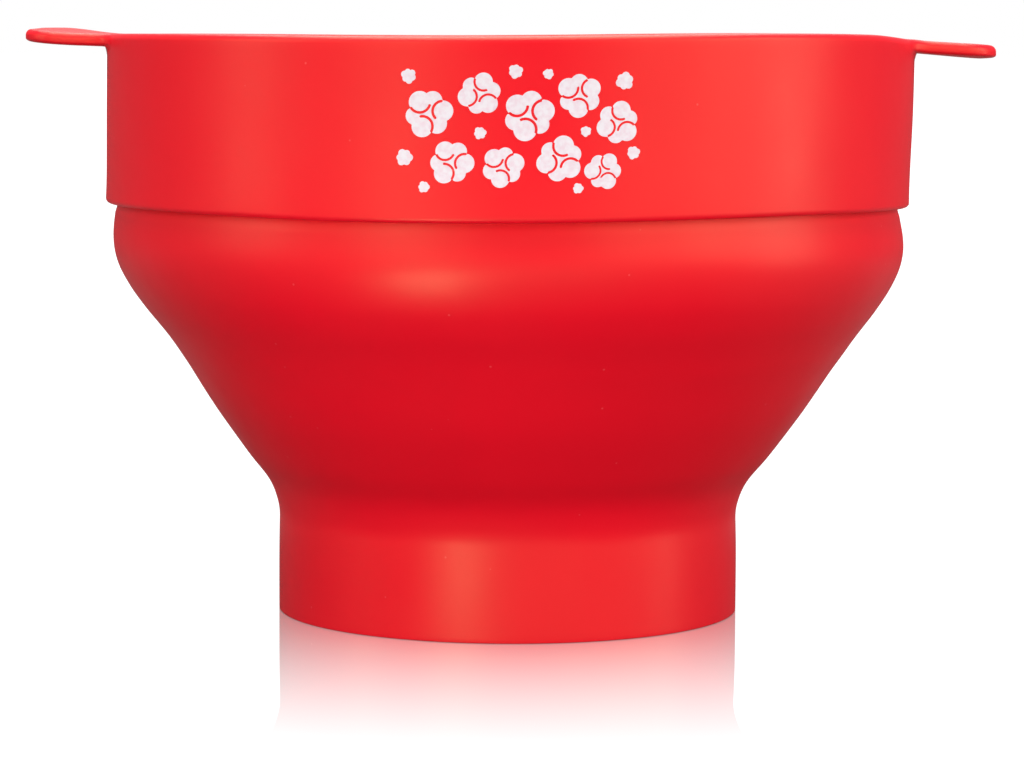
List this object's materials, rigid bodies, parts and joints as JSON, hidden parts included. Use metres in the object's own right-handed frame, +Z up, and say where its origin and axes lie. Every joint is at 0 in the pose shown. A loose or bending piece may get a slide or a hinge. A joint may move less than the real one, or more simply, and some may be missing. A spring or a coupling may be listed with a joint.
{
  "type": "popcorn maker",
  "caption": "Collapsible silicone bowl for popping corn in a microwave oven, with a wide rim band, ear handles and a lift-out vented lid.",
  "frame": {"origin": "on the table, under the middle of the base cup", "axes": "+X along the two handles, +Z up through the middle of the bowl, -Y towards the printed front"},
  "size_m": [0.239, 0.2, 0.1425],
  "materials": {
    "bowl_silicone": "satin silicone",
    "lid_silicone": "satin silicone",
    "print_ink": "matt white ink"
  },
  "bodies": {
    "base": {"base_cup": "bowl_silicone"},
    "ring_1": {"wall_ring_1": "bowl_silicone"},
    "ring_2": {"wall_ring_2": "bowl_silicone"},
    "ring_3": {"wall_ring_3": "bowl_silicone"},
    "ring_4": {"wall_ring_4": "bowl_silicone"},
    "ring_5": {"wall_ring_5": "bowl_silicone"},
    "ring_6": {"wall_ring_6": "bowl_silicone"},
    "ring_7": {"wall_ring_7": "bowl_silicone"},
    "ring_8": {"wall_ring_8": "bowl_silicone"},
    "rim": {"rim_band": "bowl_silicone", "shoulder_ring": "bowl_silicone", "handle_right": "bowl_silicone", "handle_left": "bowl_silicone"},
    "lid": {"lid_disc": "lid_silicone", "lid_pull_tab": "lid_silicone"}
  },
  "joints": [
    {"name": "collapse", "type": "slide", "parent": "base", "child": "rim", "axis": [0, 0, -1], "range_m": [0, 0.0775]},
    {"name": "ring_1_fold", "type": "slide", "parent": "base", "child": "ring_1", "axis": [0, 0, -1], "range_m": [0, 0.005]},
    {"name": "ring_2_fold", "type": "slide", "parent": "base", "child": "ring_2", "axis": [0, 0, -1], "range_m": [0, 0.015]},
    {"name": "ring_3_fold", "type": "slide", "parent": "base", "child": "ring_3", "axis": [0, 0, -1], "range_m": [0, 0.025]},
    {"name": "ring_4_fold", "type": "slide", "parent": "base", "child": "ring_4", "axis": [0, 0, -1], "range_m": [0, 0.034]},
    {"name": "ring_5_fold", "type": "slide", "parent": "base", "child": "ring_5", "axis": [0, 0, -1], "range_m": [0, 0.044]},
    {"name": "ring_6_fold", "type": "slide", "parent": "base", "child": "ring_6", "axis": [0, 0, -1], "range_m": [0, 0.054]},
    {"name": "ring_7_fold", "type": "slide", "parent": "base", "child": "ring_7", "axis": [0, 0, -1], "range_m": [0, 0.063]},
    {"name": "ring_8_fold", "type": "slide", "parent": "base", "child": "ring_8", "axis": [0, 0, -1], "range_m": [0, 0.073]},
    {"name": "lid_lift", "type": "slide", "parent": "rim", "child": "lid", "axis": [0, 0, 1], "range_m": [0, 0.06]}
  ],
  "couplings": [
    {"joint": "ring_1_fold", "follows": "collapse", "ratio": 0.0625},
    {"joint": "ring_2_fold", "follows": "collapse", "ratio": 0.1875},
    {"joint": "ring_3_fold", "follows": "collapse", "ratio": 0.3125},
    {"joint": "ring_4_fold", "follows": "collapse", "ratio": 0.4375},
    {"joint": "ring_5_fold", "follows": "collapse", "ratio": 0.5625},
    {"joint": "ring_6_fold", "follows": "collapse", "ratio": 0.6875},
    {"joint": "ring_7_fold", "follows": "collapse", "ratio": 0.8125},
    {"joint": "ring_8_fold", "follows": "collapse", "ratio": 0.9375}
  ]
}
